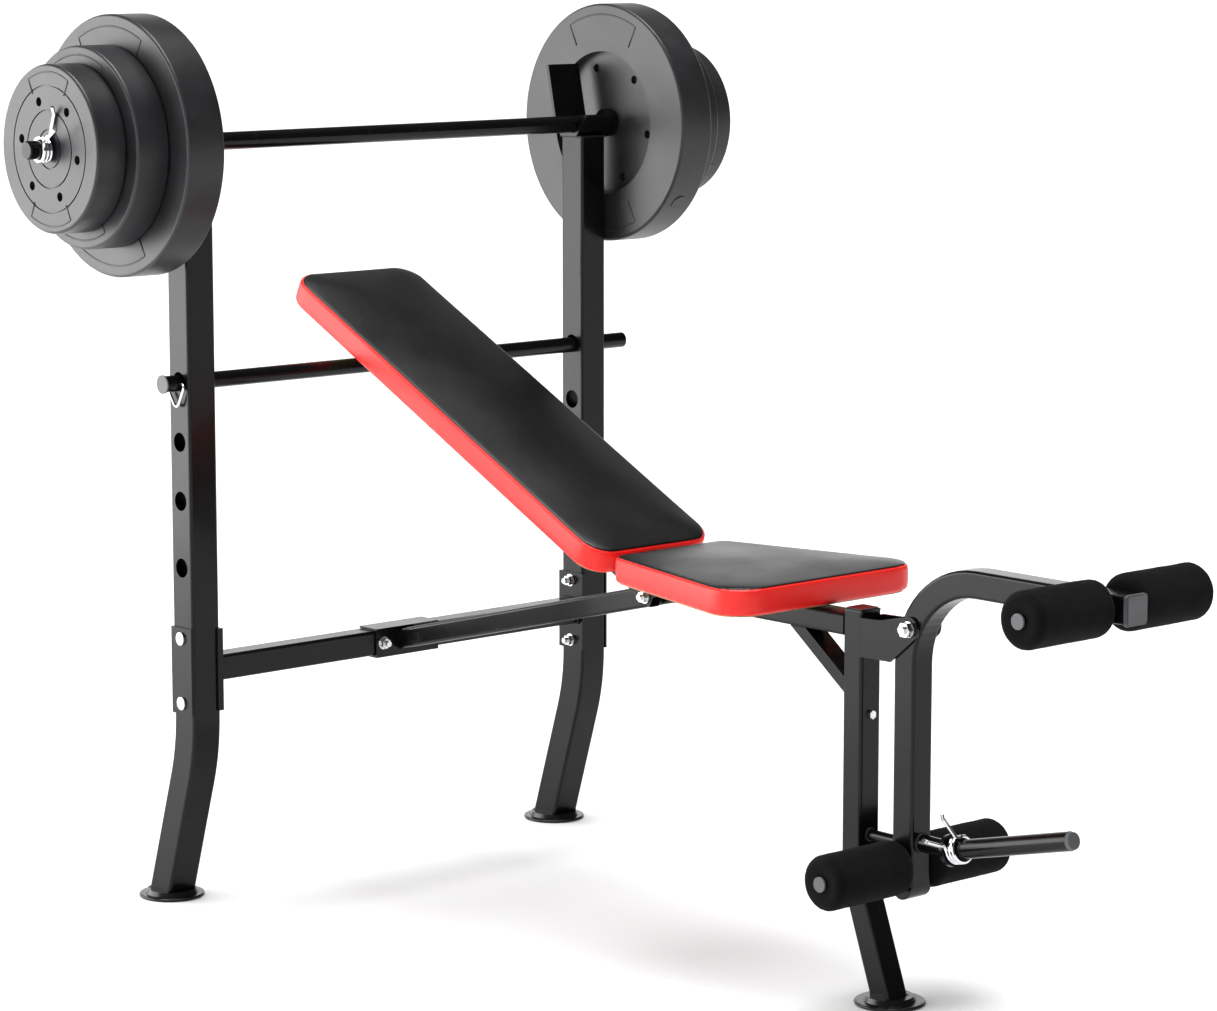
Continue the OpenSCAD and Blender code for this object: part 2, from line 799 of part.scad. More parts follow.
module backrest_outline(inset) {
    translate([(pad_low_x + pad_high_x) / 2, 0])
        rounded_rect(back_len - 2 * inset, 2 * (back_half_w - inset), back_corner_r - inset);
}

module backrest_board() {
    color(plywood) on_backrest() translate([0, 0, rail_tube / 2 + seat_gap])
        linear_extrude(board_t - seat_gap) backrest_outline(board_inset);
}

module backrest_pad() {
    color(vinyl_red) on_backrest() difference() {
        translate([0, 0, rail_tube / 2]) linear_extrude(back_t) backrest_outline(0);
        translate([0, 0, rail_tube / 2 - 1])
            linear_extrude(board_t + 1 + seat_gap) backrest_outline(board_inset - seat_gap);
    }
}

module backrest_screws() {
    places = [0.15, 0.5, 0.85];
    color(zinc) on_backrest() for (share = places, side = [-1, 1])
        translate([pad_low_x - share * back_len, side * rail_y, -rail_tube / 2 - screw_head_t - seat_gap])
            cylinder(d = small_nut_w / cos(30), h = screw_head_t, $fn = 6);
}

module hinge_bolt() {
    out_y = rail_y + rail_tube / 2 + touch_gap;
    color(zinc) place() translate([hinge_x, 0, hinge_z]) {
        translate([0, out_y, 0]) rotate([90, 0, 0]) {
            cylinder(d = hinge_bolt_d, h = 2 * out_y + 12);
            translate([0, 0, -hex_head_t]) cylinder(d = nut_w / cos(30), h = hex_head_t, $fn = 6);
        }
        translate([0, -out_y, 0]) rotate([90, 0, 0]) washer_and_nut(hinge_bolt_d);
    }
}

// ---- crossbar and its clip ----

module crossbar() {
    color(black) place() translate([0, crossbar_y0, crossbar_z]) difference() {
        rod_y(crossbar_d, crossbar_len, center = false);
        translate([0, -1, 0]) rod_y(crossbar_d - 4, crossbar_len + 2, center = false);
        translate([0, clip_y - crossbar_y0, 0]) rotate([0, 90, 0])
            cylinder(d = clip_wire + 2 * touch_gap, h = 2 * crossbar_d, center = true);
    }
}

module crossbar_cap() {
    color(grey_plastic) place() translate([0, crossbar_y0, crossbar_z]) {
        translate([0, -2 - seat_gap, 0]) rod_y(crossbar_d + 3, 2, center = false);
        translate([0, -seat_gap - 0.5, 0]) rod_y(crossbar_d - 4.4, cap_grip, center = false);
    }
}

module hitch_clip() {
    reach = crossbar_d / 2 + 2.8 * clip_wire;
    loop_low = [2, -36];
    tip = [-crossbar_d / 2 - 3, -crossbar_d / 2 - clip_wire / 2 - 1.5];
    path = bent([[-reach, 0], [reach, 0], loop_low, tip], 1.5 * clip_wire, 4);
    color(chrome) place() translate([0, clip_y, crossbar_z])
        wire_sweep([for (p = path) [p[0], 0, p[1]]], clip_wire, 12, up = [0, 1, 0]);
}

// ---- barbell ----

module on_bar() {
    place() translate([bar_x, -bar_shift, bar_z]) children();
}

module barbell_bar() {
    bevel = 1.5;
    color(black) on_bar() rotate([-90, 0, 0]) rotate_extrude()
        polygon([[0, -bar_len / 2], [bar_d / 2 - bevel, -bar_len / 2], [bar_d / 2, -bar_len / 2 + bevel],
                 [bar_d / 2, bar_len / 2 - bevel], [bar_d / 2 - bevel, bar_len / 2], [0, bar_len / 2]]);
}

module bar_collars() {
    color(black) on_bar() for (side = [-1, 1])
        translate([0, side * (plate_start + plate_dish - touch_gap - bar_collar_w / 2), 0]) difference() {
            rod_y(bar_d + 16, bar_collar_w);
            rod_y(bar_d + 2 * seat_gap, bar_collar_w + 2);
        }
}

// Half outline of a weight plate, radius along X and thickness along Y, dished face first
module plate_outline(r, t) {
    rim_r = 4;
    bore_r = bar_d / 2 + run_gap;
    difference() {
        union() {
            translate([bore_r, 0]) square([r - rim_r - bore_r, t]);
            translate([r - 2 * rim_r, rim_r]) square([2 * rim_r, t - 2 * rim_r]);
            for (y = [rim_r, t - rim_r]) translate([r - rim_r, y]) circle(rim_r);
        }
        translate([0, -1]) square([dish_share * r, plate_dish + 1]);
        for (ring_r = [plate_hub_r, face_ring_shares[0] * r, face_ring_shares[1] * r])
            translate([ring_r, t - plate_groove]) square([2, plate_groove + 1]);
    }
}

// Weight plate lying on its dished face, flat face up
module weight_plate(r, t) {
    holes = 6;
    hole_depth = 7;
    plug_d = 24;
    plug_h = 3.8;
    difference() {
        rotate_extrude($fn = 128) plate_outline(r, t);
        for (i = [0 : holes - 1]) rotate([0, 0, (i + 0.5) * 360 / holes]) {
            translate([dish_hole_share * r, 0, plate_dish - 1]) cylinder(d = 12, h = hole_depth + 1);
            translate([face_hole_share * r, 0, t - hole_depth]) cylinder(d = 12, h = hole_depth + 1);
        }
    }
    // round filler plug on the rim
    translate([r - plug_h + 0.8, 0, t / 2]) rotate([0, 90, 0]) cylinder(d = plug_d, h = plug_h);
}

module bar_plate(side, i) {
    size = 2 - i;
    color(plate_black) on_bar() translate([0, side * stack_y(i), 0])
        rotate([-90 * side, 0, 0]) rotate([0, 0, 90 - side * 50])
            weight_plate(plate_ds[size] / 2, plate_ts[size]);
}

module left_large_plate() { bar_plate(-1, 0); }
module left_medium_plate() { bar_plate(-1, 1); }
module left_small_plate() { bar_plate(-1, 2); }
module right_large_plate() { bar_plate(1, 0); }
module right_medium_plate() { bar_plate(1, 1); }
module right_small_plate() { bar_plate(1, 2); }

// Coil spring collar: wire wound round a shaft from z = 0 upwards, with two squeeze handles
module spring_collar(shaft_d) {
    turn_r = shaft_d / 2 + 2 * touch_gap + coil_wire / 2;
    pitch = coil_wire + 0.2;
    turns = 2.9;
    per_turn = 20;
    sides = 8;
    steps = round(turns * per_turn);
    grip = [34, 44];
    start_a = 70;
    function helix(i) = let (a = start_a + i * 360 / per_turn)
        [turn_r * cos(a), turn_r * sin(a), coil_wire / 2 + i * pitch / per_turn];
    function out(p, reach) = p + reach * [p[0], p[1], 0] / turn_r;
    path = concat(
        [out(helix(0), grip[1]) + [0, 0, 5], out(helix(0), grip[0]), out(helix(0), 4)],
        [for (i = [1 : steps - 1]) helix(i)],
        [out(helix(steps), 4), out(helix(steps), grip[0]), out(helix(steps), grip[1]) + [0, 0, 5]]);
    wire_sweep(path, coil_wire, sides);
}

// Round wire along a path in space that never runs along up
module wire_sweep(path, d, sides, up = [0, 0, 1]) {
    last = len(path) - 1;
    function way(i) = let (v = path[min(i + 1, last)] - path[max(i - 1, 0)]) v / norm(v);
    points = [for (i = [0 : last])
        let (t = way(i), m = cross(t, up) / norm(cross(t, up)), n = cross(m, t))
        for (j = [0 : sides - 1]) let (a = 360 * j / sides)
            path[i] + d / 2 * (cos(a) * m + sin(a) * n)];
    polyhedron(points, skin(len(path), sides), convexity = 6);
}

module left_spring_collar() {
    color(chrome) on_bar() translate([0, -stack_end, 0]) rotate([90, 0, 0]) spring_collar(bar_d);
}

module right_spring_collar() {
    color(chrome) on_bar() translate([0, stack_end, 0]) rotate([0, 0, 180]) rotate([90, 0, 0])
        spring_collar(bar_d);
}

// ---- leg developer ----

module developer_tube() {
    color(black) place() difference() {
        union() {
            bent_tube(bent([[dev_x, dev_low_z], [dev_x, dev_arm_z], [dev_arm_end, dev_arm_z]],
                           dev_bend_r, 14),
                      dev_tube, dev_side, beam_wall);
            // rounded shoe that closes the low end
            translate([dev_x, 0, dev_low_z]) rotate([90, 0, 0]) linear_extrude(dev_side, center = true)
                intersection() {
                    circle(dev_tube / 2);
                    translate([-dev_tube, -2 * dev_tube]) square([2 * dev_tube, 2 * dev_tube]);
                }
        }
        translate([pivot_x, 0, pivot_z]) rod_y(pivot_sleeve_d + 2 * seat_gap, 2 * dev_side);
        translate([upper_rod_x, 0, dev_arm_z]) rod_y(rod_d + 2 * seat_gap, 2 * dev_side);
        translate([lower_rod_x, 0, lower_rod_z]) rod_y(rod_d + 2 * seat_gap, 2 * dev_side);
    }
}

module developer_cap() {
    color(grey_plastic) place() translate([dev_arm_end + seat_gap, 0, dev_arm_z]) rotate([0, 90, 0]) {
        linear_extrude(end_cap_t - 2) rounded_rect(37, 37, 4);
        linear_extrude(end_cap_t) rounded_rect(33, 33, 4);
    }
}

module pivot_sleeve() {
    color(zinc) place() translate([pivot_x, 0, pivot_z]) difference() {
        rod_y(pivot_sleeve_d, post_w + cheek_gap);
        rod_y(pivot_bolt_d + 2 * run_gap, 2 * post_w);
    }
}

module roller_rod(x, z) {
    color(black) place() translate([x, 0, z]) difference() {
        rod_y(rod_d, 2 * rod_half);
        rod_y(rod_d - 4, 2 * rod_half + 2);
    }
}

module upper_roller_rod() { roller_rod(upper_rod_x, dev_arm_z); }
module lower_roller_rod() { roller_rod(lower_rod_x, lower_rod_z); }

module roller_rod_caps() {
    rods = [[upper_rod_x, dev_arm_z], [lower_rod_x, lower_rod_z]];
    color(grey_plastic) place() for (p = rods, side = [-1, 1])
        translate([p[0], side * (rod_half + seat_gap), p[1]]) rotate([-side * 90, 0, 0]) {
            cylinder(d = rod_d + 3, h = 2.5);
            translate([0, 0, -10]) cylinder(d = rod_d - 4.4, h = 10.5);
        }
}

module weight_peg() {
    start_x = dev_x + dev_tube / 2 + seat_gap;
    color(black) place() {
        translate([start_x, 0, strut_z]) rotate([0, 90, 0]) cylinder(d = strut_d, h = flange_x - start_x);
        translate([flange_x, 0, strut_z]) {
            rotate([0, 90 - peg_rise, 0]) {
                translate([0, 0, -3]) cylinder(d = flange_d, h = 6);
                cylinder(d = peg_d + 1, h = peg_shoulder);
                cylinder(d = peg_d, h = peg_len);
            }
            sphere(d = strut_d);
        }
    }
}

module peg_cap() {
    color(grey_plastic) place() translate([flange_x, 0, strut_z]) rotate([0, 90 - peg_rise, 0])
        translate([0, 0, peg_len + seat_gap]) cylinder(d1 = peg_d - 0.6, d2 = peg_d - 3, h = 5);
}

module peg_spring_collar() {
    color(chrome) place() translate([flange_x, 0, strut_z]) rotate([0, 90 - peg_rise, 0])
        translate([0, 0, 3 + touch_gap]) rotate([0, 0, 180]) spring_collar(peg_d + 1);
}

module roller(x, z, side) {
    round_r = 10;
    bore_r = rod_d / 2 + run_gap;
    r = roller_d / 2;
    color(foam_black) place() translate([x, side * roller_y, z]) rotate([-side * 90, 0, 0])
        rotate_extrude($fn = 96) {
            translate([bore_r, 0]) square([r - round_r - bore_r, roller_len]);
            translate([r - 2 * round_r, round_r]) square([2 * round_r, roller_len - 2 * round_r]);
            for (y = [round_r, roller_len - round_r]) translate([r - round_r, y]) circle(round_r);
        }
}

module upper_left_roller() { roller(upper_rod_x, dev_arm_z, -1); }
module upper_right_roller() { roller(upper_rod_x, dev_arm_z, 1); }
module lower_left_roller() { roller(lower_rod_x, lower_rod_z, -1); }
module lower_right_roller() { roller(lower_rod_x, lower_rod_z, 1); }

left_upright();
right_upright();
left_bar_catch();
right_bar_catch();
left_rear_foot();
right_rear_foot();
crossbeam();
left_beam_bracket();
right_beam_bracket();
left_outer_plate();
right_outer_plate();
upright_bolts();
upright_nuts();
centre_bracket();
centre_bolts();
main_beam();
front_post();
post_cap();
front_foot();
beam_brace();
pivot_yoke();
pivot_bolt();
post_bolt();
developer_stop();
seat_plate();
seat_board();
seat_pad();
seat_screws();
hinge_bolt();
left_back_rail();
right_back_rail();
backrest_board();
backrest_pad();
backrest_screws();
crossbar();
crossbar_cap();
hitch_clip();
barbell_bar();
bar_collars();
left_small_plate();
left_medium_plate();
left_large_plate();
right_small_plate();
right_medium_plate();
right_large_plate();
left_spring_collar();
right_spring_collar();
developer_tube();
developer_cap();
pivot_sleeve();
upper_roller_rod();
lower_roller_rod();
roller_rod_caps();
weight_peg();
peg_cap();
peg_spring_collar();
upper_left_roller();
upper_right_roller();
lower_left_roller();
lower_right_roller();
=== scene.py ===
"""Adjustable weight bench: paint, plating, cushions, foam rollers, welds and studio round the CAD frame."""

import json
import math

import bmesh
import bpy
from bpy.props import FloatProperty, FloatVectorProperty, IntProperty, PointerProperty
from mathutils import Matrix, Vector, noise
from mathutils.geometry import convex_hull_2d

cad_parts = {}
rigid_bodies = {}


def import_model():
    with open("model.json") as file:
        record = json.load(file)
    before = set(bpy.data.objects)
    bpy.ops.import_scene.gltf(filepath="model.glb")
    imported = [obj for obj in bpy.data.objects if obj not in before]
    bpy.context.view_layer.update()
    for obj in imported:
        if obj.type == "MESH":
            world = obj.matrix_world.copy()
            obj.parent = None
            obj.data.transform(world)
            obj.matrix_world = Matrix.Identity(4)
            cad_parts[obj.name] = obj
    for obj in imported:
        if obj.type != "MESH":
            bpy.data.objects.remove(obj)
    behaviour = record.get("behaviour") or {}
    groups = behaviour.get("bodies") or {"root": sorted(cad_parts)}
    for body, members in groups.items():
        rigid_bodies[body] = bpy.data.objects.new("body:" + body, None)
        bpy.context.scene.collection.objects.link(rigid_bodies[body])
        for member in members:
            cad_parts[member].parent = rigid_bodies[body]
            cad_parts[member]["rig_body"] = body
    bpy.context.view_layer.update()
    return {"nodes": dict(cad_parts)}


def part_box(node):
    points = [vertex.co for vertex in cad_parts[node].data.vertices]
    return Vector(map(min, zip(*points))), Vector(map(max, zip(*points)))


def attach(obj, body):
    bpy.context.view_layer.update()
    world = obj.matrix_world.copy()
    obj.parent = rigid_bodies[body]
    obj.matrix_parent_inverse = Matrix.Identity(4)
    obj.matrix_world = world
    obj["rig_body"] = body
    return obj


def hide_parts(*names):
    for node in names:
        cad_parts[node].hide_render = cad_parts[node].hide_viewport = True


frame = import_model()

bl_info = {
    "name": "Weight Bench",
    "version": (1, 0, 0),
    "blender": (4, 5, 0),
    "location": "View3D > Sidebar > Weight Bench",
    "description": "Finishes, cushions, foam rollers and studio for an adjustable weight bench",
    "category": "Object",
}

NODES = frame["nodes"]
STUDIO_FLOOR_HALF = 60.0
STUDIO_FLOOR_Z = -0.0003
FAR_RIGHT = (0.743, 0.669, 0.0)
UP = Vector((0, 0, 1))
ACROSS = Vector((0, 1, 0))


# ---- sizes and colours that a user would change ----


def colour(label, description, default):
    """A colour property in linear light."""
    return FloatVectorProperty(name=label, description=description, default=default, subtype="COLOR",
                               size=3, min=0.0, max=1.0)


def distance(label, description, default, low, high):
    """A length property in metres."""
    return FloatProperty(name=label, description=description, default=default, min=low, max=high,
                         subtype="DISTANCE", unit="LENGTH", precision=4)


class BenchColours(bpy.types.PropertyGroup):
    """Colours of the bench's finishes."""

    paint: colour("Paint", "Powder coat on the frame", (0.006, 0.006, 0.0064))
    zinc: colour("Zinc", "Plating on the bolts and nuts", (0.70, 0.71, 0.73))
    chrome: colour("Chrome", "Plating on the spring collars and the clip", (0.80, 0.81, 0.83))
    shell: colour("Plate shell", "Vinyl shell of the weight plates", (0.024, 0.024, 0.0262))
    foam: colour("Foam", "Skin of the foam rollers", (0.0045, 0.0045, 0.005))
    top: colour("Pad top", "Vinyl on the top of the pads", (0.0045, 0.0045, 0.0048))
    side: colour("Pad side", "Vinyl on the sides of the pads", (0.84, 0.030, 0.024))
    plywood: colour("Plywood", "Face of the boards under the pads", (0.46, 0.31, 0.17))
    cap_grey: colour("Grey plastic", "End caps of the rods and the arm", (0.105, 0.108, 0.112))
    cap_black: colour("Black plastic", "Feet and post cap", (0.010, 0.010, 0.011))
    floor: colour("Floor", "Studio floor", (0.86, 0.86, 0.865))


class BenchCushions(bpy.types.PropertyGroup):
    """Sizes of the two upholstered pads."""

    seam_drop: distance("Seam drop", "Depth of the top seam below the top of the pad's solid",
                        0.0055, 0.002, 0.012)
    margin: distance("Margin", "How far the pad starts inside its solid, before it is filled",
                     0.0025, 0.0, 0.006)
    shoulder: distance("Shoulder", "Width of the rounded shoulder inside the seam", 0.030, 0.01, 0.05)
    crown: distance("Crown", "Most that the filling pushes the vinyl out", 0.0085, 0.002, 0.02)
    voxel: distance("Mesh size", "Size of the mesh that is filled", 0.005, 0.004, 0.008)
    groove: distance("Seam groove", "Depth of the sewn groove", 0.0016, 0.0005, 0.004)
    groove_w: distance("Seam width", "Half width of the sewn groove", 0.0016, 0.0005, 0.004)
    pressure: FloatProperty(name="Pressure", description="Pressure of the filling", default=4.0,
                            min=0.5, max=10.0)
    frames: IntProperty(name="Frames", description="Frames of filling", default=20, min=5, max=40)
    staple_inset: distance("Staple inset", "How far the staples are from the pad's edge", 0.02, 0.013, 0.04)
    staple_step: distance("Staple spacing", "From one staple to the next", 0.045, 0.03, 0.09)


class BenchRollers(bpy.types.PropertyGroup):
    """Sizes of the foam rollers."""

    end_round: distance("End rounding", "Radius of the rounded ends", 0.011, 0.004, 0.02)
    dimple: distance("Dimple", "Depth of the dished end round the plug", 0.003, 0.0, 0.006)
    unevenness: distance("Unevenness", "How far the skin waves in and out", 0.0006, 0.0, 0.002)


class BenchStudio(bpy.types.PropertyGroup):
    """Camera and lights."""

    lens: FloatProperty(name="Focal length", description="Camera lens", default=114.97, min=35.0, max=300.0,
                        unit="CAMERA")
    place: FloatVectorProperty(name="Camera", description="Place of the camera",
                               default=(3.63075, -3.3685, 1.344), subtype="TRANSLATION",
                               unit="LENGTH", size=3)
    heading: FloatProperty(name="Heading", description="Heading of the camera from +X", default=2.411,
                           subtype="ANGLE", unit="ROTATION")
    pitch: FloatProperty(name="Pitch", description="Pitch of the camera", default=-0.152, subtype="ANGLE",
                         unit="ROTATION")
    low_sky: FloatProperty(name="Low sky", description="Light from round the horizon", default=1.35,
                           min=0.0, max=3.0)
    high_sky: FloatProperty(name="High sky", description="Light from overhead", default=0.10,
                            min=0.0, max=3.0)
    top_light: FloatProperty(name="Top light", description="Strength of the broad light straight above",
                             default=3.5, min=0.0, max=10.0)
    side_light: FloatProperty(name="Side light", description="Power of the soft box on the left",
                              default=80.0, min=0.0, max=1500.0)


# ---- materials ----


class Finish:
    """A material being made: its nodes, its shader and its coordinates."""

    def __init__(self, name):
        self.material = bpy.data.materials.new(name)
        self.material.use_nodes = True
        self.tree = self.material.node_tree
        self.shader = self.tree.nodes["Principled BSDF"]
        self.place = self.node("ShaderNodeTexCoord").outputs["Object"]

    def node(self, kind, inputs=None, **settings):
        """A new node; inputs are values or the outputs of other nodes."""
        made = self.tree.nodes.new(kind)
        for key, value in settings.items():
            setattr(made, key, value)
        for key, value in (inputs or {}).items():
            if isinstance(value, bpy.types.NodeSocket):
                self.tree.links.new(value, made.inputs[key])
            else:
                made.inputs[key].default_value = value
        return made

    def set(self, **values):
        """Values or outputs for the shader's sockets, with _ for a space."""
        for key, value in values.items():
            socket = self.shader.inputs[key.replace("_", " ")]
            if isinstance(value, bpy.types.NodeSocket):
                self.tree.links.new(value, socket)
            else:
                socket.default_value = value

    def stretched(self, x, y, z):
        """Coordinates scaled differently along each axis."""
        return self.node("ShaderNodeMapping", {"Vector": self.place, "Scale": (x, y, z)}).outputs["Vector"]

    def noise(self, scale, detail=2.0, roughness=0.5, place=None):
        """Noise from 0 to 1, with features of about 1 / scale metres."""
        made = self.node("ShaderNodeTexNoise", {"Vector": place or self.place, "Scale": scale,
                                                "Detail": detail, "Roughness": roughness})
        return made.outputs["Fac"]

    def cells(self, scale, feature="F1", place=None):
        """Distance to the nearest cell centre, for a grain."""
        made = self.node("ShaderNodeTexVoronoi", {"Vector": place or self.place, "Scale": scale},
                         feature=feature)
        return made.outputs["Distance"]

    def span(self, value, low, high, to_low=0.0, to_high=1.0):
        """value, taken from low to high, spread over to_low to to_high."""
        made = self.node("ShaderNodeMapRange", {"Value": value, "From Min": low, "From Max": high,
                                                "To Min": to_low, "To Max": to_high})
        return made.outputs["Result"]

    def blend(self, share, first, second):
        """first where share is 0, second where it is 1."""
        made = self.node("ShaderNodeMix", data_type="RGBA")
        for key, value in (("Factor", share), ("A", first), ("B", second)):
            kind = "VALUE" if key == "Factor" else "RGBA"
            socket = [s for s in made.inputs if s.name == key and s.type == kind][0]
            if isinstance(value, bpy.types.NodeSocket):
                self.tree.links.new(value, socket)
            elif key == "Factor":
                socket.default_value = value
            else:
                socket.default_value = (*value, 1.0)
        return [s for s in made.outputs if s.type == "RGBA"][0]

    def sum(self, first, second, share=1.0):
        """first plus second times share."""
        made = self.node("ShaderNodeMath", operation="MULTIPLY_ADD")
        self.tree.links.new(second, made.inputs[0])
        made.inputs[1].default_value = share
        self.tree.links.new(first, made.inputs[2])
        return made.outputs[0]

    def relief(self, height, depth, strength=1.0):
        """Fine relief of that depth in metres."""
        made = self.node("ShaderNodeBump", {"Height": height, "Distance": depth, "Strength": strength})
        self.set(Normal=made.outputs["Normal"])


def shade(base, factor):
    """A colour made lighter or darker."""
    return tuple(min(1.0, c * factor) for c in base)


def powder_coat(colours):
    """Gloss black powder coat: orange peel, faint rubs and a cloudy tone."""
    f = Finish("powder_coat")
    base = tuple(colours.paint)
    cloud = f.noise(7.0, 3.0)
    rubs = f.span(f.noise(46.0, 9.0, 0.72), 0.60, 0.72)
    tone = f.blend(f.span(cloud, 0.3, 0.7), shade(base, 0.85), shade(base, 1.2))
    f.set(Base_Color=f.blend(rubs, tone, shade(base, 2.1)),
          Roughness=f.sum(f.span(cloud, 0.3, 0.7, 0.20, 0.27), rubs, 0.10),
          Specular_IOR_Level=0.3, Coat_Weight=0.06, Coat_Roughness=0.07)
    f.relief(f.sum(f.noise(380.0, 2.0), f.noise(1300.0, 1.0), 0.25), 0.00016, 0.5)
    return f.material


def bright_zinc(colours):
    """Zinc plating with a faint bloom and fine scratches."""
    f = Finish("bright_zinc")
    base = tuple(colours.zinc)
    bloom = f.noise(160.0, 4.0)
    scratches = f.noise(900.0, 3.0, 0.6, f.stretched(0.15, 1.0, 1.0))
    f.set(Base_Color=f.blend(f.span(bloom, 0.35, 0.7), base, (base[0] * 0.86, base[1] * 0.85, base[2] * 0.8)),
          Metallic=1.0, Roughness=f.sum(f.span(bloom, 0.3, 0.7, 0.16, 0.30), scratches, 0.08))
    f.relief(scratches, 0.00003, 0.5)
    return f.material


def chrome_wire(colours):
    """Bright chrome wire with a faint haze."""
    f = Finish("chrome_wire")
    base = tuple(colours.chrome)
    haze = f.noise(240.0, 3.0)
    f.set(Base_Color=f.blend(haze, base, shade(base, 0.9)), Metallic=1.0,
          Roughness=f.span(haze, 0.3, 0.7, 0.07, 0.16))
    f.relief(haze, 0.00002, 0.4)
    return f.material


def plate_shell(colours):
    """Satin vinyl shell of a weight plate: fine grain, flow marks and pale scuffs."""
    f = Finish("plate_shell")
    base = tuple(colours.shell)
    flow = f.noise(11.0, 5.0, 0.6)
    scuffs = f.span(f.noise(60.0, 10.0, 0.75), 0.60, 0.74)
    tone = f.blend(f.span(flow, 0.3, 0.7), shade(base, 0.8), shade(base, 1.35))
    f.set(Base_Color=f.blend(scuffs, tone, shade(base, 2.6)),
          Roughness=f.sum(f.span(flow, 0.3, 0.7, 0.34, 0.44), scuffs, 0.12), Specular_IOR_Level=0.55)
    f.relief(f.sum(f.noise(1500.0, 2.0), f.noise(90.0, 3.0), 0.8), 0.00022, 0.35)
    return f.material


def roller_foam(colours):
    """Matt foam with a fine open-cell skin."""
    f = Finish("roller_foam")
    base = tuple(colours.foam)
    cells = f.cells(1150.0)
    patches = f.noise(26.0, 4.0)
    f.set(Base_Color=f.blend(f.span(patches, 0.3, 0.75), base, shade(base, 1.7)),
          Roughness=f.span(cells, 0.0, 0.9, 0.84, 0.97), Specular_IOR_Level=0.12,
          Sheen_Weight=0.03, Sheen_Roughness=0.6)
    f.relief(f.sum(cells, f.noise(420.0, 4.0, 0.7), 1.2), 0.0006, 0.8)
    return f.material


def vinyl(name, base, roughness, painted_grain_shade):
    """Upholstery vinyl: pebbled leather grain with painted shade between the pebbles, soft creases and slight
    polish.
    """
    f = Finish(name)
    pebbles = f.cells(720.0, "SMOOTH_F1")
    creases = f.noise(55.0, 5.0, 0.62, f.stretched(0.5, 1.0, 1.0))
    polish = f.noise(9.0, 3.0)
    tone = f.blend(f.span(polish, 0.3, 0.7), shade(base, 0.88), shade(base, 1.08))
    # painted shade: between the pebbles of the grain the colour is darkened by the factor given as the last
    # argument
    f.set(Base_Color=f.blend(f.span(pebbles, 0.05, 0.6), tone, shade(base, painted_grain_shade)),
          Roughness=f.sum(f.span(polish, 0.3, 0.7, roughness - 0.04, roughness + 0.05), pebbles, 0.06),
          Specular_IOR_Level=0.45)
    f.relief(f.sum(pebbles, creases, 1.6), 0.00028, 0.42)
    return f.material


def plywood(colours):
    """Plywood: long grain on the faces and thin plies on the edges."""
    f = Finish("plywood")
    base = tuple(colours.plywood)
    grain = f.noise(60.0, 8.0, 0.65, f.stretched(0.12, 1.0, 1.0))
    pores = f.noise(900.0, 3.0, 0.6, f.stretched(0.08, 1.0, 1.0))
    lines = f.span(f.sum(grain, pores, 0.3), 0.45, 0.85)
    f.set(Base_Color=f.blend(lines, shade(base, 1.12), shade(base, 0.55)),
          Roughness=f.span(grain, 0.3, 0.7, 0.62, 0.78))
    f.relief(f.sum(grain, pores, 0.7), 0.0003, 0.5)
    return f.material


def moulded(name, base, roughness):
    """Moulded plastic with a spark-eroded texture."""
    f = Finish(name)
    texture = f.noise(1400.0, 3.0, 0.6)
    flow = f.noise(30.0, 3.0)
    f.set(Base_Color=f.blend(f.span(flow, 0.3, 0.7), shade(base, 0.88), shade(base, 1.14)),
          Roughness=f.span(flow, 0.3, 0.7, roughness - 0.05, roughness + 0.06))
    f.relief(texture, 0.00012, 0.5)
    return f.material


def studio_floor(colours):
    """Pale matt floor."""
    f = Finish("studio_floor")
    base = tuple(colours.floor)
    f.set(Base_Color=f.blend(f.noise(0.8, 2.0), base, shade(base, 0.985)), Roughness=0.7,
          Specular_IOR_Level=0.2)
    return f.material


def coat(node, material):
    """Gives a CAD node its finish."""
    mesh = NODES[node].data
    mesh.materials.clear()
    mesh.materials.append(material)


# ---- mesh helpers ----


def new_piece(name, bm, materials, body):
    """A piece from a bmesh, riding on a body."""
    mesh = bpy.data.meshes.new(name)
    bmesh.ops.recalc_face_normals(bm, faces=bm.faces)
    bm.to_mesh(mesh)
    bm.free()
    for material in materials:
        mesh.materials.append(material)
    mesh.polygons.foreach_set("use_smooth", [True] * len(mesh.polygons))
    piece = bpy.data.objects.new(name, mesh)
    bpy.context.scene.collection.objects.link(piece)
    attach(piece, body)
    return piece


def loft(bm, rings, cap_ends=True):
    """Quads between closed rings of points, with flat ends. Returns the rings of vertices."""
    made = [[bm.verts.new(p) for p in ring] for ring in rings]
    for low, high in zip(made, made[1:]):
        count = len(low)
        for i in range(count):
            j = (i + 1) % count
            bm.faces.new((low[i], low[j], high[j], high[i]))
    if cap_ends:
        bm.faces.new(list(reversed(made[0])))
        bm.faces.new(made[-1])
    return made


def rope(bm, points, radius, sides=8, closed=False):
    """A round cord through points; radius is one number or one for each point."""
    count = len(points)
    radii = radius if hasattr(radius, "__len__") else [radius] * count
    rings = []
    for i, p in enumerate(points):
        before = points[(i - 1) % count] if closed or i > 0 else points[0]
        after = points[(i + 1) % count] if closed or i < count - 1 else points[-1]
        way = (after - before).normalized()
        side = way.cross(UP if abs(way.z) < 0.9 else ACROSS).normalized()
        other = side.cross(way)
        rings.append([p + radii[i] * (math.cos(a) * side + math.sin(a) * other)
                      for a in (2 * math.pi * k / sides for k in range(sides))])
    if closed:
        rings.append(rings[0])
        made = loft(bm, rings, cap_ends=False)
        bmesh.ops.remove_doubles(bm, verts=made[0] + made[-1], dist=1e-7)
    else:
        loft(bm, rings)


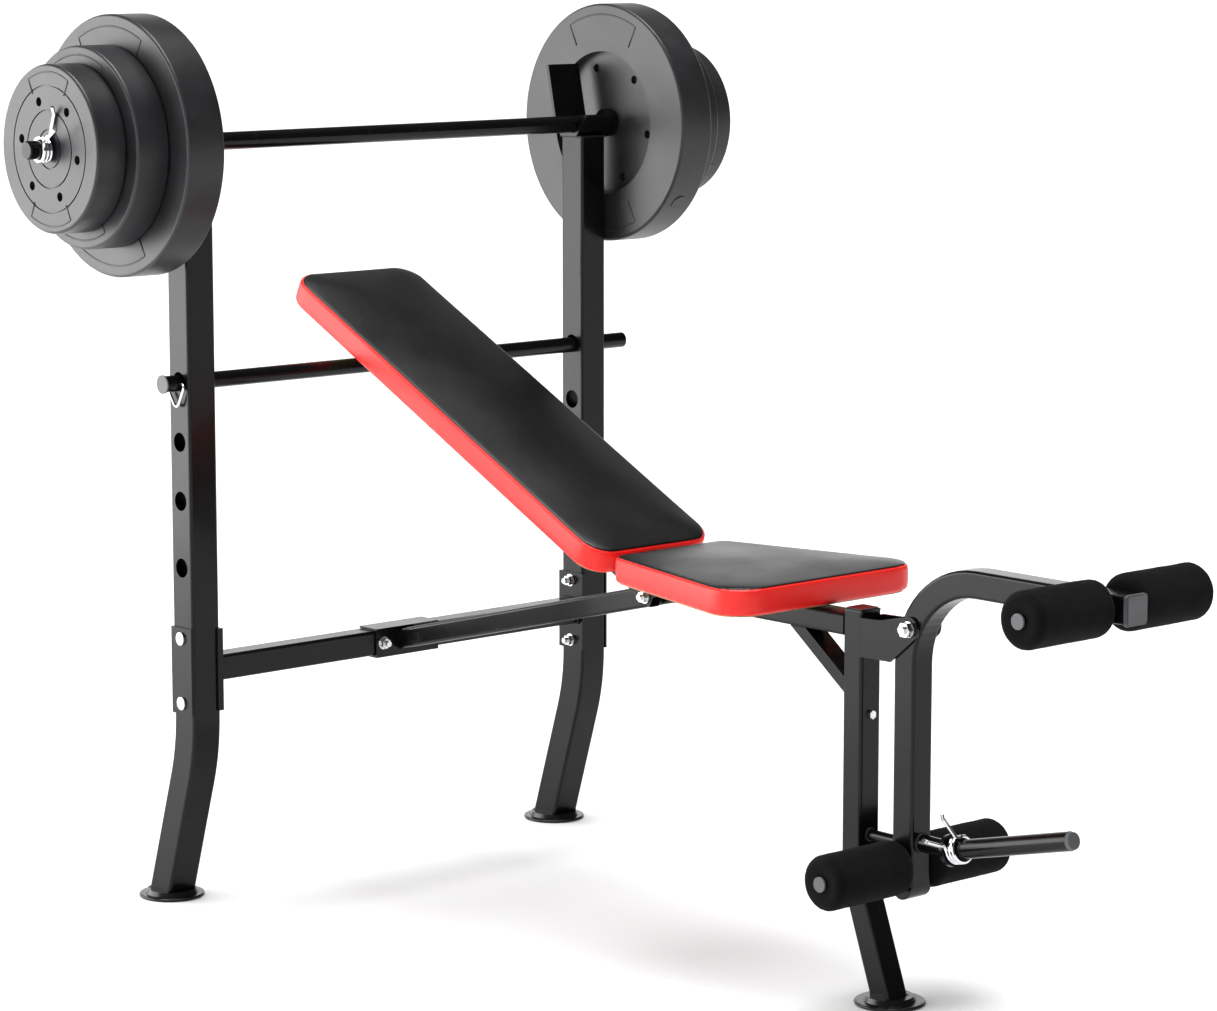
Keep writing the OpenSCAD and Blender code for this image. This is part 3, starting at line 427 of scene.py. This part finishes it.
def resampled(points, step):
    """Points of a closed outline, evenly spaced about step apart."""
    lengths = [(b - a).length for a, b in zip(points, points[1:] + points[:1])]
    total = sum(lengths)
    count = max(12, round(total / step))
    made, at, walked = [], 0, 0.0
    for i in range(count):
        goal = total * i / count
        while walked + lengths[at] < goal:
            walked += lengths[at]
            at += 1
        share = (goal - walked) / lengths[at]
        made.append(points[at].lerp(points[(at + 1) % len(points)], share))
    return made


def inset(outline, amount):
    """A convex outline moved inwards; outwards if amount is below 0."""
    made = []
    count = len(outline)
    for i, p in enumerate(outline):
        way = (outline[(i + 1) % count] - outline[i - 1]).normalized()
        made.append(p + amount * Vector((-way.y, way.x)))
    return made


# ---- cushions ----


class PadPlace:
    """Where a pad's CAD solid is: its own axes, its outline in plan and its thickness."""

    def __init__(self, node):
        mesh = NODES[node].data
        widest = max(mesh.polygons, key=lambda face: face.area).normal
        self.up = widest if widest.z > 0 else -widest
        self.along = ACROSS.cross(self.up).normalized()
        corners = [Vector((v.co.dot(self.along), v.co.y, v.co.dot(self.up))) for v in mesh.vertices]
        self.low = min(c.z for c in corners)
        self.thick = max(c.z for c in corners) - self.low
        middle = (min(c.x for c in corners) + max(c.x for c in corners)) / 2
        top = [Vector((c.x - middle, c.y)) for c in corners if c.z > self.low + self.thick - 1e-4]
        hull = convex_hull_2d(top)
        self.outline = [top[i] for i in hull]
        origin = self.along * middle + self.up * self.low
        self.matrix = Matrix((
            (self.along.x, ACROSS.x, self.up.x, origin.x),
            (self.along.y, ACROSS.y, self.up.y, origin.y),
            (self.along.z, ACROSS.z, self.up.z, origin.z),
            (0, 0, 0, 1)))


def filled(piece, pinned, sizes):
    """Blows the piece up a little with the cloth solver; points for which pinned says so stay put."""
    group = piece.vertex_groups.new(name="pinned")
    group.add([v.index for v in piece.data.vertices if pinned(v.co)], 1.0, "REPLACE")
    cloth = piece.modifiers.new("Filling", "CLOTH")
    settings = cloth.settings
    settings.quality = 5
    settings.vertex_group_mass = group.name
    settings.use_pressure = True
    settings.uniform_pressure_force = sizes.pressure
    settings.effector_weights.gravity = 0.0
    settings.tension_stiffness = 12.0
    settings.compression_stiffness = 12.0
    settings.bending_stiffness = 0.6
    cloth.point_cache.frame_start = 1
    cloth.point_cache.frame_end = sizes.frames
    scene = bpy.context.scene
    for step in range(1, sizes.frames + 1):
        scene.frame_set(step)
    graph = bpy.context.evaluated_depsgraph_get()
    swollen = piece.evaluated_get(graph).data
    moved = [after.co - before.co for before, after in zip(piece.data.vertices, swollen.vertices)]
    piece.modifiers.remove(cloth)
    scene.frame_set(1)
    for v, step in zip(piece.data.vertices, moved):
        if step.length > 1e-9:
            v.co += step.normalized() * sizes.crown * math.tanh(step.length / sizes.crown)
    piece.vertex_groups.clear()


def with_modifiers_applied(piece):
    """Replaces the piece's mesh by what its modifiers make of it."""
    graph = bpy.context.evaluated_depsgraph_get()
    made = bpy.data.meshes.new_from_object(piece.evaluated_get(graph))
    piece.modifiers.clear()
    piece.data = made


def cushion(name, node, body, sizes, top_vinyl, side_vinyl):
    """An upholstered pad: flat underside, a boxed side band, a sewn seam and a crowned top."""
    place = PadPlace(node)
    seam_z = place.thick - sizes.seam_drop
    start = inset(resampled(place.outline, sizes.voxel), sizes.margin)
    levels = [(0.0025, 0.0004), (0.0, 0.003), (0.0, seam_z), (0.0022, seam_z + 0.0012),
              (sizes.shoulder * 0.45, seam_z + 0.0034), (sizes.shoulder, seam_z + 0.0042)]
    bm = bmesh.new()
    loft(bm, [[Vector((p.x, p.y, z)) for p in inset(start, amount)] for amount, z in levels])
    mesh = bpy.data.meshes.new(name)
    bm.to_mesh(mesh)
    bm.free()
    piece = bpy.data.objects.new(name, mesh)
    bpy.context.scene.collection.objects.link(piece)
    grid = piece.modifiers.new("Grid", "REMESH")
    grid.mode = "VOXEL"
    grid.voxel_size = sizes.voxel
    with_modifiers_applied(piece)
    rim = [Vector((p.x, p.y)) for p in start]

    def pinned(co):
        if co.z < 0.008:
            return True
        return abs(co.z - seam_z) < sizes.voxel * 0.75 and min(
            (Vector((co.x, co.y)) - p).length for p in rim) < sizes.voxel * 1.1

    filled(piece, pinned, sizes)
    soften = piece.modifiers.new("Soften", "SMOOTH")
    soften.factor = 0.5
    soften.iterations = 3
    finer = piece.modifiers.new("Finer", "SUBSURF")
    finer.levels = 1
    finer.render_levels = 1
    with_modifiers_applied(piece)
    bm = bmesh.new()
    bm.from_mesh(piece.data)
    for z in (seam_z - sizes.groove_w, seam_z, seam_z + sizes.groove_w):
        bmesh.ops.bisect_plane(bm, geom=bm.verts[:] + bm.edges[:] + bm.faces[:], dist=1e-6,
                               plane_co=(0, 0, z), plane_no=(0, 0, 1))
    bm.normal_update()
    inward = {}
    for v in bm.verts:
        off = abs(v.co.z - seam_z)
        if off < sizes.groove_w * 0.98:
            flat = Vector((v.normal.x, v.normal.y, 0))
            inward[v] = flat.normalized() * sizes.groove * (1 - off / sizes.groove_w)
    for v, step in inward.items():
        v.co -= step
    for face in bm.faces:
        face.material_index = 0 if face.calc_center_median().z > seam_z else 1
        face.smooth = True
    bm.to_mesh(piece.data)
    bm.free()
    piece.data.materials.append(top_vinyl)
    piece.data.materials.append(side_vinyl)
    piece.data.transform(place.matrix)
    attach(piece, body)
    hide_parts(node)
    return place


def staple_row(name, place, body, sizes, material):
    """Wire staples that hold the vinyl under the board, all round."""
    bm = bmesh.new()
    outline = resampled(inset(resampled(place.outline, 0.01), sizes.staple_inset), sizes.staple_step)
    count = len(outline)
    for i, p in enumerate(outline):
        way = (outline[(i + 1) % count] - outline[i - 1]).normalized()
        ends = [p - way * 0.005, p + way * 0.005]
        path = [Vector((ends[0].x, ends[0].y, 0.0012)), Vector((ends[0].x, ends[0].y, -0.0003)),
                Vector((ends[1].x, ends[1].y, -0.0003)), Vector((ends[1].x, ends[1].y, 0.0012))]
        rope(bm, path, 0.0006, 6)
    bm.transform(place.matrix)
    return new_piece(name, bm, [material], body)


# ---- rollers ----


def foam_roller(name, node, body, rod_node, sizes, material):
    """A foam sleeve with soft rounded ends, a dished end face and a slightly uneven skin."""
    low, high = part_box(node)
    centre = (low + high) / 2
    radius = (high.z - low.z) / 2 - sizes.unevenness
    half = (high.y - low.y) / 2 - sizes.unevenness
    rod_low, rod_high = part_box(rod_node)
    bore = (rod_high.z - rod_low.z) / 2 + 0.0002
    r = sizes.end_round
    profile = [(bore, -half + sizes.dimple)]
    profile += [(bore + 0.0012, -half + sizes.dimple * 0.55),
                (bore + (radius - r - bore) * 0.35, -half + 0.0008)]
    profile += [(radius - r + r * math.sin(a), -half + r - r * math.cos(a))
                for a in (math.radians(9 * k) for k in range(0, 11))]
    runs = 56
    body_half = half - r
    profile += [(radius, -body_half + 2 * body_half * k / runs) for k in range(1, runs)]
    profile += [(rr, -y) for rr, y in reversed(profile[:14])]
    turns = 112
    bm = bmesh.new()
    rings = []
    for rr, y in profile:
        ring = []
        for k in range(turns):
            a = 2 * math.pi * k / turns
            spot = Vector((math.cos(a) * 2.2, y * 34.0 + centre.y * 5.0 + centre.x, math.sin(a) * 2.2))
            wave = noise.noise(spot) * 0.6 + noise.noise(spot * 3.1) * 0.4
            grown = rr + (sizes.unevenness * wave if rr > bore * 1.5 else 0.0)
            ring.append(Vector((centre.x + grown * math.cos(a), centre.y + y,
                                centre.z + grown * math.sin(a))))
        rings.append(ring)
    made = loft(bm, rings, cap_ends=False)
    first, last = made[0], made[-1]
    for i in range(turns):
        j = (i + 1) % turns
        bm.faces.new((last[i], last[j], first[j], first[i]))
    piece = new_piece(name, bm, [material], body)
    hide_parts(node)
    return piece


# ---- welds ----


def bead_points(corners, step):
    """Points along a closed run of straight stretches."""
    made = []
    for a, b in zip(corners, corners[1:] + corners[:1]):
        parts = max(1, round((b - a).length / step))
        made += [a.lerp(b, k / parts) for k in range(parts)]
    return made


def weld_bead(bm, corners, radius):
    """A rippled weld bead along a closed run of corners."""
    points = bead_points(corners, radius * 0.55)
    radii = [radius * (1 + 0.16 * math.sin(2 * math.pi * k / 5) + 0.10 * noise.noise(p * 230.0))
             for k, p in enumerate(points)]
    rope(bm, points, radii, 8, closed=True)


def loop_round(low, high, axis, at):
    """Corners of the box's section across an axis, at a place along it."""
    others = [i for i in range(3) if i != axis]
    made = []
    for s, t in ((0, 0), (1, 0), (1, 1), (0, 1)):
        p = Vector((0, 0, 0))
        p[axis] = at
        p[others[0]] = (low, high)[s][others[0]]
        p[others[1]] = (low, high)[t][others[1]]
        made.append(p)
    return made


def ring_round(centre, radius):
    """Points of a circle across X."""
    turns = (2 * math.pi * k / 24 for k in range(24))
    return [centre + radius * Vector((0, math.cos(a), math.sin(a))) for a in turns]


# ---- raised panels on the weight plates ----

PANEL_WIDTH = 0.0026
PANEL_HEIGHT = 0.0007


def ridge(bm, points, width, height, out):
    """A low ridge with sloping sides along points that lie on a face; out points away from the face."""
    count = len(points)
    rings = []
    for i, p in enumerate(points):
        way = (points[min(i + 1, count - 1)] - points[max(i - 1, 0)]).normalized()
        side = way.cross(out).normalized() * width / 2
        sunk = out * -0.0004
        rings.append([p - side + sunk, p - side * 0.55 + out * height,
                      p + side * 0.55 + out * height, p + side + sunk])
    loft(bm, rings)


def plate_panel(bm, centre, radius, face_y, out, middle_angle):
    """A blank label frame on a plate's face: an arc with a short radial end at each side."""
    inner, outer = radius * 0.72, radius * 0.91
    spread = math.radians(27)

    def spot(r, a):
        return Vector((centre.x + r * math.cos(a), face_y, centre.z + r * math.sin(a)))

    steps = 22
    sweep = [middle_angle - spread + 2 * spread * k / steps for k in range(steps + 1)]
    line = [spot(inner, sweep[0])] + [spot(outer, a) for a in sweep] + [spot(inner, sweep[-1])]
    ridge(bm, line, PANEL_WIDTH, PANEL_HEIGHT, out)


# ---- operators ----

PAINTED = [
    "left_upright", "right_upright", "left_bar_catch", "right_bar_catch", "crossbeam",
    "left_beam_bracket", "right_beam_bracket", "left_outer_plate", "right_outer_plate",
    "centre_bracket", "main_beam", "front_post", "beam_brace", "pivot_yoke", "developer_stop",
    "seat_plate", "left_back_rail", "right_back_rail", "crossbar", "barbell_bar", "bar_collars",
    "developer_tube", "upper_roller_rod", "lower_roller_rod", "weight_peg",
]
ZINCED = [
    "upright_bolts", "upright_nuts", "centre_bolts", "pivot_bolt", "post_bolt", "seat_screws", "hinge_bolt",
    "backrest_screws", "pivot_sleeve",
]
CHROMED = ["hitch_clip", "left_spring_collar", "right_spring_collar", "peg_spring_collar"]
WEIGHTS = [f"{side}_{size}_plate" for side in ("left", "right") for size in ("small", "medium", "large")]
GREY_CAPS = ["crossbar_cap", "developer_cap", "roller_rod_caps", "peg_cap"]
BLACK_CAPS = ["left_rear_foot", "right_rear_foot", "front_foot", "post_cap"]
BOARDS = ["seat_board", "backrest_board"]
ROLLERS = [
    (f"{end}_{side}_roller", f"{end}_roller_rod") for end in ("upper", "lower") for side in ("left", "right")
]


class BENCH_OT_frame_paint(bpy.types.Operator):
    """Paint the steel frame, the bar and the rods"""

    bl_idname = "bench.frame_paint"
    bl_label = "Frame Paint"

    def execute(self, context):
        paint = powder_coat(context.scene.bench_colours)
        for node in PAINTED:
            coat(node, paint)
        return {"FINISHED"}


class BENCH_OT_plated_parts(bpy.types.Operator):
    """Plate the bolts, nuts, spring collars and clip"""

    bl_idname = "bench.plated_parts"
    bl_label = "Plated Parts"

    def execute(self, context):
        zinc = bright_zinc(context.scene.bench_colours)
        chrome = chrome_wire(context.scene.bench_colours)
        for node in ZINCED:
            coat(node, zinc)
        for node in CHROMED:
            coat(node, chrome)
        return {"FINISHED"}


class BENCH_OT_weight_plates(bpy.types.Operator):
    """Give the weight plates their satin vinyl shell"""

    bl_idname = "bench.weight_plates"
    bl_label = "Weight Plates"

    def execute(self, context):
        shell = plate_shell(context.scene.bench_colours)
        bar_low, bar_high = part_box("barbell_bar")
        centre = (bar_low + bar_high) / 2
        for node in WEIGHTS:
            coat(node, shell)
            low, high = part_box(node)
            radius = centre.z - low.z
            bm = bmesh.new()
            for face_y, out in ((low.y, -ACROSS), (high.y, ACROSS)):
                for angle in (-90, 90):
                    plate_panel(bm, centre, radius, face_y, out, math.radians(angle))
            new_piece(node + "_panels", bm, [shell], NODES[node]["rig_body"])
        return {"FINISHED"}


class BENCH_OT_caps_and_boards(bpy.types.Operator):
    """Finish the feet, the end caps and the boards"""

    bl_idname = "bench.caps_and_boards"
    bl_label = "Caps and Boards"

    def execute(self, context):
        c = context.scene.bench_colours
        grey = moulded("grey_cap_plastic", tuple(c.cap_grey), 0.45)
        black = moulded("black_cap_plastic", tuple(c.cap_black), 0.22)
        board = plywood(c)
        for nodes, material in ((GREY_CAPS, grey), (BLACK_CAPS, black), (BOARDS, board)):
            for node in nodes:
                coat(node, material)
        return {"FINISHED"}


class BENCH_OT_cushions(bpy.types.Operator):
    """Make the upholstered backrest and seat"""

    bl_idname = "bench.cushions"
    bl_label = "Cushions"

    def execute(self, context):
        c = context.scene.bench_colours
        sizes = context.scene.bench_cushions
        # the last number of each vinyl is the painted shade between the pebbles of the grain
        top = vinyl("black_vinyl", tuple(c.top), 0.33, 0.7)
        side = vinyl("red_vinyl", tuple(c.side), 0.38, 0.93)
        staples = bpy.data.materials["bright_zinc"]
        for name, node, body in (("backrest_cushion", "backrest_pad", "backrest"),
                                 ("seat_cushion", "seat_pad", "frame")):
            place = cushion(name, node, body, sizes, top, side)
            staple_row(name + "_staples", place, body, sizes, staples)
        return {"FINISHED"}


class BENCH_OT_foam_rollers(bpy.types.Operator):
    """Make the four foam rollers"""

    bl_idname = "bench.foam_rollers"
    bl_label = "Foam Rollers"

    def execute(self, context):
        foam = roller_foam(context.scene.bench_colours)
        for node, rod in ROLLERS:
            foam_roller(node + "_foam", node, NODES[node]["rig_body"], rod, context.scene.bench_rollers, foam)
        return {"FINISHED"}


class BENCH_OT_welds(bpy.types.Operator):
    """Run weld beads round the frame's welded joints"""

    bl_idname = "bench.welds"
    bl_label = "Weld Beads"

    def execute(self, context):
        paint = bpy.data.materials["powder_coat"]
        bm = bmesh.new()
        beam_low, beam_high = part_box("crossbeam")
        for y in (beam_low.y + 0.0012, beam_high.y - 0.0012):
            weld_bead(bm, loop_round(beam_low, beam_high, 1, y), 0.0018)
        for side in ("left_", "right_"):
            low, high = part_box(side + "upright")
            foot_end = Vector((high.x - (high.y - low.y), low.y, 0))
            weld_bead(bm, loop_round(foot_end, high, 2, high.z - 0.0005), 0.0016)
        low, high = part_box("developer_stop")
        centre = Vector((low.x + 0.001, (low.y + high.y) / 2, (low.z + high.z) / 2))
        weld_bead(bm, ring_round(centre, (high.y - low.y) / 2), 0.0018)
        new_piece("frame_welds", bm, [paint], "frame")
        bm = bmesh.new()
        low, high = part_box("weight_peg")
        flange_radius = (high.y - low.y) / 2
        centre = Vector((low.x + 0.001, (low.y + high.y) / 2, low.z + flange_radius))
        weld_bead(bm, ring_round(centre, flange_radius * 0.55), 0.0019)
        new_piece("developer_welds", bm, [paint], "leg_developer")
        return {"FINISHED"}


def area_light(name, place, aim, width, height, power):
    """A soft box pointed at a place."""
    data = bpy.data.lights.new(name, "AREA")
    data.shape = "RECTANGLE"
    data.size = width
    data.size_y = height
    data.energy = power
    light = bpy.data.objects.new(name, data)
    bpy.context.scene.collection.objects.link(light)
    light.location = place
    light.rotation_mode = "QUATERNION"
    light.rotation_quaternion = (Vector(aim) - Vector(place)).to_track_quat("-Z", "Y")


def sky(sizes):
    """Even light: bright round the horizon, dim overhead and towards the far right."""
    world = bpy.data.worlds.new("studio")
    world.use_nodes = True
    tree = world.node_tree

    def node(kind, inputs, output, **settings):
        made = tree.nodes.new(kind)
        for key, value in settings.items():
            setattr(made, key, value)
        for key, value in inputs.items():
            if isinstance(value, bpy.types.NodeSocket):
                tree.links.new(value, made.inputs[key])
            else:
                made.inputs[key].default_value = value
        return made.outputs[output]

    way = node("ShaderNodeTexCoord", {}, "Generated")
    height = node("ShaderNodeSeparateXYZ", {"Vector": way}, "Z")
    rightward = node("ShaderNodeVectorMath", {0: way, 1: FAR_RIGHT}, "Value", operation="DOT_PRODUCT")
    low = node("ShaderNodeMapRange", {"Value": height, "From Min": 0.22, "From Max": 0.55, "To Min": 1.0,
                                      "To Max": 0.0}, "Result", interpolation_type="SMOOTHSTEP")
    left = node("ShaderNodeMapRange", {"Value": rightward, "From Min": 0.15, "From Max": 0.6, "To Min": 1.0,
                                       "To Max": 0.0}, "Result", interpolation_type="SMOOTHSTEP")
    share = node("ShaderNodeMath", {0: low, 1: left}, "Value", operation="MULTIPLY")
    strength = node("ShaderNodeMapRange", {"Value": share, "To Min": sizes.high_sky,
                                           "To Max": sizes.low_sky}, "Result")
    background = tree.nodes["Background"]
    background.inputs["Color"].default_value = (1, 1, 1, 1)
    tree.links.new(strength, background.inputs["Strength"])
    return world


class BENCH_OT_studio(bpy.types.Operator):
    """Set up the floor, the lights and the camera"""

    bl_idname = "bench.studio"
    bl_label = "Studio"

    def execute(self, context):
        scene = context.scene
        sizes = scene.bench_studio
        bm = bmesh.new()
        corners = [(-1, -1), (1, -1), (1, 1), (-1, 1)]
        half = STUDIO_FLOOR_HALF
        bm.faces.new([bm.verts.new((x * half, y * half, STUDIO_FLOOR_Z)) for x, y in corners])
        mesh = bpy.data.meshes.new("studio_floor")
        bm.to_mesh(mesh)
        bm.free()
        mesh.materials.append(studio_floor(scene.bench_colours))
        floor = bpy.data.objects.new("studio_floor", mesh)
        scene.collection.objects.link(floor)
        scene.world = sky(sizes)
        top_data = bpy.data.lights.new("top_light", "SUN")
        top_data.energy = sizes.top_light
        top_data.angle = math.radians(50)
        top_light = bpy.data.objects.new("top_light", top_data)
        scene.collection.objects.link(top_light)
        area_light("side_box", (-2.55, -2.3, 1.1), (-0.2, -0.15, 0.6), 3.3, 2.2, sizes.side_light)
        data = bpy.data.cameras.new("camera")
        data.sensor_width = 36.0
        data.lens = sizes.lens
        data.clip_end = 100.0
        camera = bpy.data.objects.new("camera", data)
        scene.collection.objects.link(camera)
        camera.location = sizes.place
        way = Vector((math.cos(sizes.pitch) * math.cos(sizes.heading),
                      math.cos(sizes.pitch) * math.sin(sizes.heading), math.sin(sizes.pitch)))
        camera.rotation_mode = "QUATERNION"
        camera.rotation_quaternion = way.to_track_quat("-Z", "Y")
        scene.camera = camera
        scene.view_settings.view_transform = "Standard"
        scene.view_settings.look = "Medium High Contrast"
        return {"FINISHED"}


class BENCH_PT_panel(bpy.types.Panel):
    """The bench's pieces, in the order in which they are made"""

    bl_idname = "BENCH_PT_panel"
    bl_label = "Weight Bench"
    bl_space_type = "VIEW_3D"
    bl_region_type = "UI"
    bl_category = "Weight Bench"

    def draw(self, context):
        layout = self.layout
        for group in GROUPS:
            values = getattr(context.scene, group)
            box = layout.box()
            box.label(text=values.bl_rna.name)
            for key in values.__annotations__:
                box.prop(values, key)
        for operator in OPERATORS:
            layout.operator(operator.bl_idname)


GROUPS = {
    "bench_colours": BenchColours,
    "bench_cushions": BenchCushions,
    "bench_rollers": BenchRollers,
    "bench_studio": BenchStudio,
}
OPERATORS = [
    BENCH_OT_studio, BENCH_OT_frame_paint, BENCH_OT_plated_parts, BENCH_OT_weight_plates,
    BENCH_OT_caps_and_boards, BENCH_OT_cushions, BENCH_OT_foam_rollers, BENCH_OT_welds,
]


def register():
    for group in GROUPS.values():
        bpy.utils.register_class(group)
    for name, group in GROUPS.items():
        setattr(bpy.types.Scene, name, PointerProperty(type=group))
    for operator in OPERATORS:
        bpy.utils.register_class(operator)
    bpy.utils.register_class(BENCH_PT_panel)


def unregister():
    bpy.utils.unregister_class(BENCH_PT_panel)
    for operator in reversed(OPERATORS):
        bpy.utils.unregister_class(operator)
    for name in GROUPS:
        delattr(bpy.types.Scene, name)
    for group in reversed(GROUPS.values()):
        bpy.utils.unregister_class(group)


def main():
    register()
    for operator in OPERATORS:
        category, name = operator.bl_idname.split(".")
        getattr(getattr(bpy.ops, category), name)()


if __name__ == "__main__":
    main()
